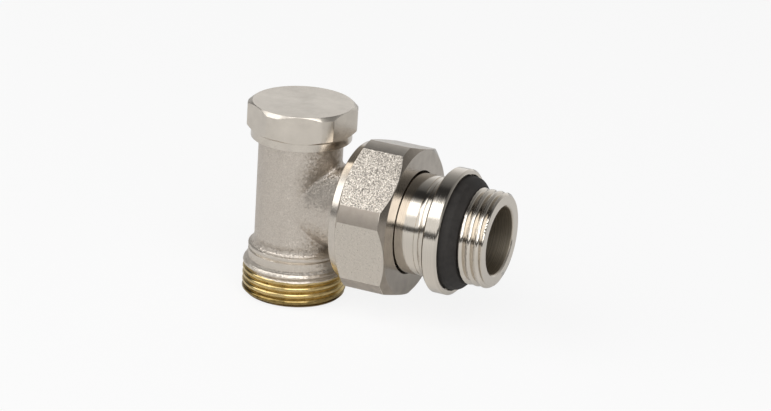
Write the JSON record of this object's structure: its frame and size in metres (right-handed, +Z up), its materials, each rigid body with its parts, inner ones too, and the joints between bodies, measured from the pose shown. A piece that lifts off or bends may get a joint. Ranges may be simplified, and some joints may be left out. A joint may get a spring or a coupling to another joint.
{
  "type": "lockshield radiator valve",
  "caption": "Angle lockshield radiator valve in plated brass: upright body with a hexagon cap, bare threaded pipe end, union nut and a flanged self-sealing tailpiece.",
  "frame": {"origin": "centre of the pipe connection's end face, under the body", "axes": "+Z up the body axis to the cap, +X along the tailpiece towards the radiator, +Y completes the right-handed frame"},
  "size_m": [0.0596, 0.0348, 0.0437],
  "materials": {
    "forged_nickel": "blasted forging, nickel plated, pipe thread cut back to bare brass",
    "satin_nickel": "turned and nickel plated, satin",
    "bright_nickel": "turned and nickel plated, bright",
    "turned_brass": "turned, bare",
    "spring_steel": "stamped spring steel",
    "seal_rubber": "moulded",
    "gasket_rubber": "moulded, matt"
  },
  "bodies": {
    "body": {"valve_body": "forged_nickel", "spindle_circlip": "spring_steel"},
    "shutter_set": {"shutter": "turned_brass", "shutter_clip": "spring_steel", "shutter_seal": "seal_rubber", "seal_screw": "turned_brass"},
    "spindle_set": {"spindle": "turned_brass", "spindle_oring": "seal_rubber"},
    "cap_ring": {"cap_seal": "seal_rubber"},
    "cap": {"protective_cap": "satin_nickel"},
    "tail_set": {"tailpiece": "bright_nickel", "split_ring": "spring_steel", "tail_oring": "seal_rubber", "flange_gasket": "gasket_rubber"},
    "nut": {"union_nut": "satin_nickel"}
  },
  "joints": [
    {"name": "shutter_lift", "type": "slide", "parent": "body", "child": "shutter_set", "axis": [0, 0, 1], "range_m": [0, 0.003]},
    {"name": "spindle_turn", "type": "hinge", "parent": "shutter_set", "child": "spindle_set", "pos_m": [0, 0, 0.03], "axis": [0, 0, 1], "range_deg": [0, 1080]},
    {"name": "cap_lift", "type": "slide", "parent": "body", "child": "cap_ring", "axis": [0, 0, 1], "range_m": [0, 0.006]},
    {"name": "cap_turn", "type": "hinge", "parent": "cap_ring", "child": "cap", "pos_m": [0, 0, 0.04], "axis": [0, 0, 1], "range_deg": [0, 2160]},
    {"name": "tail_draw", "type": "slide", "parent": "body", "child": "tail_set", "axis": [1, 0, 0], "range_m": [0, 0.00907]},
    {"name": "nut_turn", "type": "hinge", "parent": "tail_set", "child": "nut", "pos_m": [0.021, 0, 0.0218], "axis": [1, 0, 0], "range_deg": [0, 1800]}
  ],
  "couplings": [
    {"joint": "shutter_lift", "follows": "spindle_turn", "m_per_rad": 0.00015915},
    {"joint": "cap_lift", "follows": "cap_turn", "m_per_rad": 0.00015915},
    {"joint": "tail_draw", "follows": "nut_turn", "m_per_rad": 0.0002887}
  ]
}
